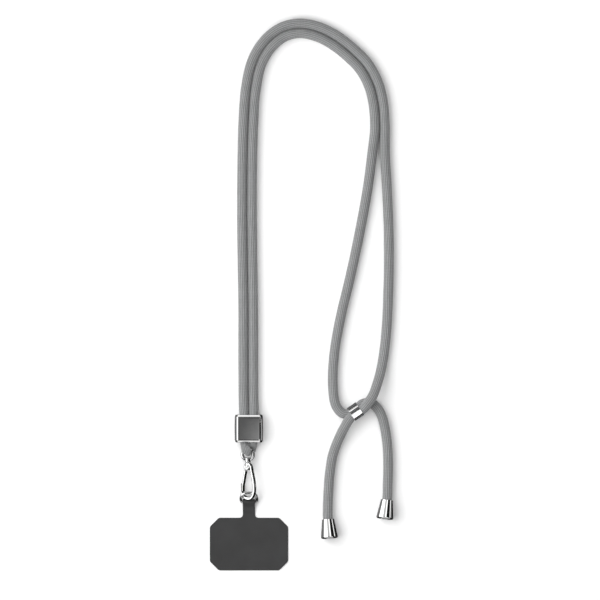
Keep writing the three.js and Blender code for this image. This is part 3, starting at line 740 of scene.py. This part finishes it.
def clamp():
    """Rings of outline and of bore in one loop: up the bore, over the end, down the sides, back.

    Between the bevels the outline swells by crown (1 - (y / half)^2).
    """
    angle = CLAMP_ANGLES
    half = CLAMP_SIZE[1] / 2
    long, deep = CLAMP_BEVEL
    soft = CLAMP_SOFT_EDGE
    flank = half - long - soft
    rings = []

    def ring(radius, y):
        """One ring across the clamp at y, by its distance from the middle at each angle."""
        rings.append(np.stack([radius * np.cos(angle), np.full(angle.shape, y),
                               radius * np.sin(angle)], -1))

    def end(sign):
        """The rings of one end, from the bore to the flank or back."""
        steps = [
            (bore_outline, 0.0, half - 0.5), (bore_outline, 0.0, half - 0.3),
            (bore_outline, 0.1, half - 0.1), (bore_outline, 0.3, half), (bore_outline, 0.5, half),
            (clamp_outline, deep + soft, half), (clamp_outline, deep, half - 0.03),
            (clamp_outline, deep - soft, half - soft * 1.1),
            (clamp_outline, soft, half - long + soft * 1.2),
            (clamp_outline, 0.03, half - long), (clamp_outline, 0.0, half - long - soft),
        ]
        for outline, amount, y in steps if sign > 0 else steps[::-1]:
            ring(outline(angle, amount), sign * y)

    end(1)
    for y in np.linspace(flank, -flank, 13)[1:-1]:
        ring(clamp_outline(angle, 0.0, CLAMP_CROWN * (1 - (y / flank) ** 2)), y)
    end(-1)
    grid = np.array(rings) + CLAMP_CENTRE
    build("clamp_shell", [skin(grid, closed=True)], CLAMP_CHROME, "strap",
          ["clamp_block"])


clamp()


# Slider

def slider():
    """Two thick tubes turned on parallel axes, run together along one line, with soft rims."""
    half = BARREL_LENGTH / 2
    wall = [(BARREL_BORE, 0), (BARREL_BORE, half), (BARREL_OUTER, half), (BARREL_OUTER, -half),
            (BARREL_BORE, -half), (BARREL_BORE, 0)]
    profile = rounded(wall, 0.2)[:-1]
    tubes = [turned(profile, barrel, slider_axis, 96, closed=True)
             for barrel in (LOWER_BARREL, UPPER_BARREL)]
    build("slider_tubes", tubes, CHROME, "strap", ["slider"])


slider()


# Caps

def cap(name, pose, node):
    """A cone turned on its axis: socket, rolled mouth, plain flank, soft foot edge, sunk end."""
    mouth, along = pose
    made = turned(rounded(CAP_PROFILE, 0.22), mouth, along, 96)
    return build(name, [made], CHROME, "strap", [node])


outer_cap = cap("outer_cap", OUTER_CAP, "outer_tail_cap")
inner_cap = cap("inner_cap", INNER_CAP, "inner_tail_cap")


# Eye

def eye():
    """An oval ring of round wire, and the turned boss that the hook's pin runs in."""
    a = np.linspace(0, 2 * np.pi, 96, endpoint=False)
    line = EYE_CENTRE + np.stack([EYE_HALF[0] * np.cos(a), EYE_HALF[1] * np.sin(a), 0 * a], -1)
    wire = np.full(len(a), EYE_WIRE)
    ring = swept(line, np.broadcast_to(UP, line.shape), soft_square(wire, wire, 0.92), closed=True)
    boss = turned(rounded(BOSS_PROFILE, 0.25), (AXIS_X, HOOK_TOP + BOSS_GAP, AXIS_Z), (0, 1, 0), 64)
    build("eye_ring", [ring, boss], CHROME, "strap", ["swivel_eye"])


eye()


# Hook

def on_hook(points):
    """Points of the hook's own plane, x across, y up to its top, z through it, put in place."""
    x, y, z = np.moveaxis(np.asarray(points, float), -1, 0)
    cos, sin = math.cos(HOOK_ROLL), math.sin(HOOK_ROLL)
    return np.stack([AXIS_X + x * cos - z * sin, HOOK_TOP + y, AXIS_Z + x * sin + z * cos], -1)


HOOK_NORMAL = np.array([-math.sin(HOOK_ROLL), 0, math.cos(HOOK_ROLL)])
RIVET_CENTRE = on_hook((*RIVET, 0))


def flat_bar(rows, thickness, ease=0.5):
    """A bar of soft-cornered section along a line in the hook's plane, drawn in at its two ends.

    At a share s of ease from an end, 0.12 or more, its width is drawn in to w times itself, with
    w = sqrt(1 - (1 - s)^2), and its thickness to 0.7 + 0.3 w. Its upper left edge is worn soft.
    """
    rows = smooth_line([(x, y, 0, w) for x, y, w in rows], BAR_STEP)
    line, width = rows[:, :3], rows[:, 3]
    run = arc_lengths(line)
    inside = np.minimum(run, run[-1] - run) / ease
    shrink = np.sqrt(1 - (1 - np.clip(inside, 0.12, 1)) ** 2)
    downward = np.tanh(-4 * headings(line)[:, 1])
    section = soft_square(width / 2 * shrink, thickness / 2 * (0.7 + 0.3 * shrink), 0.25, 48,
                          worn=0.5, worn_side=downward)
    return swept(on_hook(line), np.broadcast_to(HOOK_NORMAL, (len(rows), 3)), section)


def hook():
    """The open bar, its round head with a sunk ring, and the neck that goes up to the eye."""
    top = (AXIS_X, HOOK_TOP, AXIS_Z)
    bar = flat_bar(HOOK_ARM, HOOK_THICKNESS)
    head = turned(rounded(HEAD_PROFILE, 0.15), RIVET_CENTRE, HOOK_NORMAL, 72)
    neck = turned(rounded(NECK_PROFILE, 0.3), top, (0, 1, 0), 56)
    pin = turned(PIN_PROFILE, top, (0, 1, 0), 40)
    build("hook_frame", [bar, head, neck, pin], CHROME, "hook", ["hook_body"])


def rivet():
    """A low domed head on each side of the hook's head."""
    dome = turned(rounded(RIVET_PROFILE, 0.25), RIVET_CENTRE, HOOK_NORMAL, 56)
    build("rivet_heads", [dome], CHROME, "hook", ["gate_rivet"])


def gate():
    """The spring gate: a bar thinned where it meets the nose, its thin tongue inside the head."""
    bar = flat_bar(GATE_ARM, HOOK_THICKNESS, 0.3)
    tongue = flat_bar(GATE_TONGUE, TONGUE_THICKNESS, 0.2)
    build("gate_bar", [bar, tongue], CHROME, "gate", ["gate"])


hook()
rivet()
gate()


# D-ring

def d_ring():
    """Round wire along a straight bar and a full bow, pitched up about the bar."""
    up = np.array([0, math.cos(RING_PITCH), math.sin(RING_PITCH)])
    points = [(x * RING_HALF, BAR_PLACE + y * RING_TALL * up[1], BAR_HEIGHT + y * RING_TALL * up[2])
              for x, y in RING_ROUTE]
    line = smooth_line(points, 0.3, closed=True)
    wire = np.full(len(line), RING_WIRE)
    over = np.broadcast_to(np.cross(RIGHT, up), line.shape)
    made = swept(line, over, soft_square(wire, wire, 1.0, 28), closed=True)
    build("d_ring_wire", [made], CHROME, "hook", ["d_ring"])


d_ring()


# Tab

def tab_outline():
    """Half the tab's edge with cut, softened corners and the root of its neck, then its mirror.

    The root is a quarter circle: at t it is (neck + fillet (1 - sin t), fillet (1 - cos t)) from
    the middle of the tab's upper edge.
    """
    w, l = TAB_SIZE[0] / 2, TAB_SIZE[1] / 2
    t = np.linspace(0, np.pi / 2, 10)
    bend = np.stack([NECK_HALF + NECK_FILLET * (1 - np.sin(t)),
                     l + NECK_FILLET * (1 - np.cos(t))], -1)
    lower = rounded([(0, -l), (w - TAB_CUT, -l), (w, -l + TAB_CUT), (w, l - TAB_CUT),
                     (w - TAB_CUT, l), (NECK_HALF + NECK_FILLET, l)], TAB_CORNER, 6)
    end = l + NECK_FILLET
    root = rounded([(NECK_HALF, end), (NECK_HALF, end + 2), (0, end + 2)], 0.8)
    right = np.vstack([lower, bend[1:], root[1:]])
    edge = np.vstack([right, right[-2:0:-1] * (-1, 1)])
    edge = np.column_stack([np.vstack([edge, edge[:1]]), np.zeros(len(edge) + 1)])
    return even(edge, TAB_STEP, closed=True)


def tab():
    """Rings of the edge drawn in to the middle, over and under; and the neck as a folded strip.

    The strip rises to the D-ring's bar, goes round it in a circle and comes back underneath.
    """
    edge = tab_outline()[:, :2]
    normal = headings(edge, closed=True)[:, ::-1] * (1, -1)
    t, r = TAB_THICKNESS, TAB_EDGE
    # Share of the way out from the middle, inset from the edge, height
    steps = [
        (0.01, 0, 0), (0.4, 0, 0), (0.8, 0, 0), (1, 0.6, 0), (1, r, 0), (1, 0.3 * r, 0.3 * r),
        (1, 0, r), (1, 0, t - r), (1, 0.3 * r, t - 0.3 * r), (1, r, t), (1, 0.6, t),
        (0.8, 0, t), (0.4, 0, t), (0.01, 0, t),
    ]
    rings = []
    for share, inset, z in steps:
        flat = (edge - normal * inset) * share
        rings.append(np.column_stack([flat, np.full(len(flat), z)]))
    plate = skin(np.array(rings))
    strip = np.vstack([
        [(0, 21.0, 0.36), (0, 22.6, 0.38), (0, 24.4, 0.66),
         (0, 26.2, 1.1), (0, 28.0, 1.35), (0, 29.6, 1.95)],
        np.column_stack([np.zeros(len(STRIP_TURN)), BAR_PLACE + STRIP_BEND * np.cos(STRIP_TURN),
                         BAR_HEIGHT + STRIP_BEND * np.sin(STRIP_TURN)]),
        [(0, 30.5, 0.4), (0, 27, 0.4), (0, 24.6, 0.4)]])
    line = smooth_line(strip, 0.25)
    over = np.cross(RIGHT, headings(line))
    thick = np.interp(arc_lengths(line), [0, 1.8, 4.0], [0.32, 0.34, 0.39])
    section = soft_square(np.full(len(line), STRIP_HALF), thick, 0.14, 48)
    build("tab_sheet", [plate, swept(line, over, section)], SHEET, "hook", ["phone_tab"])


tab()


# Floor and light

def floor():
    """A plain pale surface, a hair below the lowest point."""
    mesh = bpy.data.meshes.new("floor")
    corners = [(x * FLOOR_REACH, y * FLOOR_REACH, -FLOOR_DROP)
               for x, y in ((-1, -1), (1, -1), (1, 1), (-1, 1))]
    mesh.from_pydata(corners, [], [(0, 1, 2, 3)])
    g = Graph(bpy.data.materials.new("pale_floor"))
    g.shade(Base_Color=grey(0.94), Roughness=0.9, Specular_IOR_Level=0.1)
    mesh.materials.append(g.owner)
    made = bpy.data.objects.new("floor", mesh)
    bpy.context.scene.collection.objects.link(made)
    made.visible_glossy = False


def softbox(name, place, size, power, facing, mirrored=True, only_mirrored=False, even_light=False):
    """A rectangular light; it can be left out of reflections, or be there for them alone.

    An even light doesn't weaken with distance.
    """
    data = bpy.data.lights.new(name, "AREA")
    data.shape = "RECTANGLE"
    data.size, data.size_y = size
    data.energy = power
    light = bpy.data.objects.new(name, data)
    light.location = place
    aim = Vector(facing) - Vector(place)
    light.rotation_mode = "QUATERNION"
    light.rotation_quaternion = aim.to_track_quat("-Z", "Y")
    light.visible_glossy = mirrored
    light.visible_camera = False
    light.visible_diffuse = not only_mirrored
    if even_light:
        g = Graph(data, "Emission")
        g.shade(Strength=g.node("ShaderNodeLightFalloff", {"Strength": 1.0}, out="Constant"))
    bpy.context.scene.collection.objects.link(light)


def studio_air():
    """Surroundings painted as a mirrored ball shows them from above.

    A direction d lands at m = (dx, dy) / sqrt(2 + 2 dz): the middle is overhead, 0.71 the horizon.
    """
    world = bpy.data.worlds.new("studio")
    bpy.context.scene.world = world
    g = Graph(world, "Background")
    dx, dy, dz = g.split(g.node("ShaderNodeTexCoord", out=0))
    reach = g.maths("SQRT", g.maths("MAXIMUM", g.maths("MULTIPLY_ADD", dz, 2.0, 2.0), 0.02))
    x, y = g.maths("DIVIDE", dx, reach), g.maths("DIVIDE", dy, reach)

    def span(value, low, high, soft):
        """1 from low to high and 0 outside, with soft edges."""
        up = g.range(value, low - soft, low + soft, 0.0, 1.0, interpolation_type="SMOOTHSTEP")
        down = g.range(value, high - soft, high + soft, 1.0, 0.0, interpolation_type="SMOOTHSTEP")
        return g.maths("MULTIPLY", up, down)

    total = AIR_REST
    for x0, x1, y0, y1, soft, value in AIR:
        patch = g.maths("MULTIPLY", span(x, x0, x1, soft), span(y, y0, y1, soft))
        total = g.maths("MULTIPLY_ADD", patch, value, total)
    g.shade(Color=total)


floor()
studio_air()
softbox("overhead_fill", (0.0, 0.3, 1.6), (5.0, 5.0), 32.0, (0.0, 0.3, 0.0), mirrored=False)
softbox("middle_key", (-0.13, 0.19, 0.30), (0.36, 0.36), 4.8, (0.06, 0.2, 0.0), mirrored=False,
        even_light=True)
softbox("slider_card", (0.079, 0.108, 0.052), (0.026, 0.028), 0.0032, (0.079, 0.108, 0.0),
        only_mirrored=True)
bpy.context.scene.view_settings.view_transform = "Standard"
